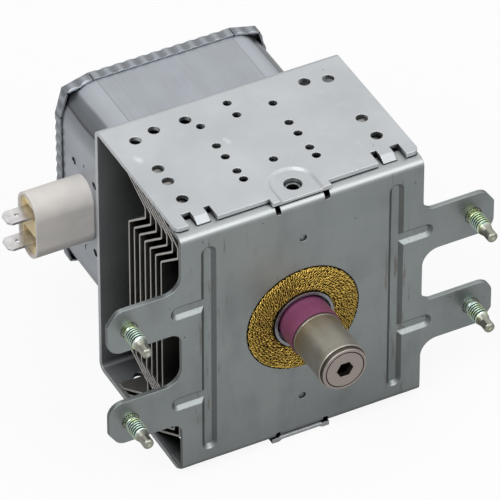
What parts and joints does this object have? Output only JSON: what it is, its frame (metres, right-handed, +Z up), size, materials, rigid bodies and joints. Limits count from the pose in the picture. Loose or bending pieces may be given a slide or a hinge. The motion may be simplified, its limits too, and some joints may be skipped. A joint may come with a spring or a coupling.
{
  "type": "magnetron",
  "caption": "Air-cooled oven magnetron: steel yoke with folded aluminium fins, capped antenna with mesh gasket, eared front plate with studs, filter box with blade connector.",
  "frame": {"origin": "where the antenna's axis meets the outer face of the front plate", "axes": "-Y along the antenna, out of the front plate; +Z up, square to the yoke's top plate; +X to the right seen from the front, so the connector points to -X"},
  "size_m": [0.128, 0.1203, 0.093],
  "materials": {
    "blade_tin": "tin-plated",
    "box_aluminium": "drawn sheet, matt",
    "brass_mesh": "knitted wire",
    "cap_steel": "drawn stainless steel",
    "cathode_metal": "molybdenum and tungsten",
    "choke_wire": "enamelled copper wire",
    "copper": "oxygen-free copper",
    "fin_aluminium": "rolled sheet",
    "front_plate_steel": "plated sheet steel, satin",
    "housing_plastic": "cream, moulded",
    "insert_epoxy": "tan resin",
    "magnet_ferrite": "sintered ferrite, ground",
    "output_glaze": "mauve",
    "plated_steel": "nickel-plated",
    "stem_alumina": "fired alumina",
    "stud_zinc": "yellow-green chromated zinc",
    "zinc_steel": "zinc-plated sheet steel, satin"
  },
  "bodies": {
    "root": {"anode_cylinder": "copper", "antenna_cap": "cap_steel", "antenna_lead": "copper", "blade_1": "blade_tin", "blade_2": "blade_tin", "box_rivets": "box_aluminium", "capacitor_housing": "housing_plastic", "capacitor_insert": "insert_epoxy", "cathode_terminal_1": "plated_steel", "cathode_terminal_2": "plated_steel", "centre_rod": "cathode_metal", "choke_1": "choke_wire", "choke_2": "choke_wire", "earth_plate": "plated_steel", "exhaust_tip": "copper", "ferrite_core_1": "magnet_ferrite", "ferrite_core_2": "magnet_ferrite", "filament": "cathode_metal", "filter_box": "box_aluminium", "filter_cover": "box_aluminium", "fin_1": "fin_aluminium", "fin_2": "fin_aluminium", "fin_3": "fin_aluminium", "fin_4": "fin_aluminium", "fin_5": "fin_aluminium", "fin_6": "fin_aluminium", "fin_7": "fin_aluminium", "front_hat": "cathode_metal", "front_large_strap": "copper", "front_magnet": "magnet_ferrite", "front_plate": "front_plate_steel", "front_pole_piece": "plated_steel", "front_small_strap": "copper", "input_cup": "plated_steel", "mesh_gasket": "brass_mesh", "output_ceramic": "output_glaze", "output_cup": "plated_steel", "rear_hat": "cathode_metal", "rear_large_strap": "copper", "rear_magnet": "magnet_ferrite", "rear_pole_piece": "plated_steel", "rear_small_strap": "copper", "side_rod": "cathode_metal", "stem_ceramic": "stem_alumina", "stud_1": "stud_zinc", "stud_2": "stud_zinc", "stud_3": "stud_zinc", "stud_4": "stud_zinc", "vane_1": "copper", "vane_10": "copper", "vane_2": "copper", "vane_3": "copper", "vane_4": "copper", "vane_5": "copper", "vane_6": "copper", "vane_7": "copper", "vane_8": "copper", "vane_9": "copper", "yoke_frame": "zinc_steel"}
  },
  "joints": []
}
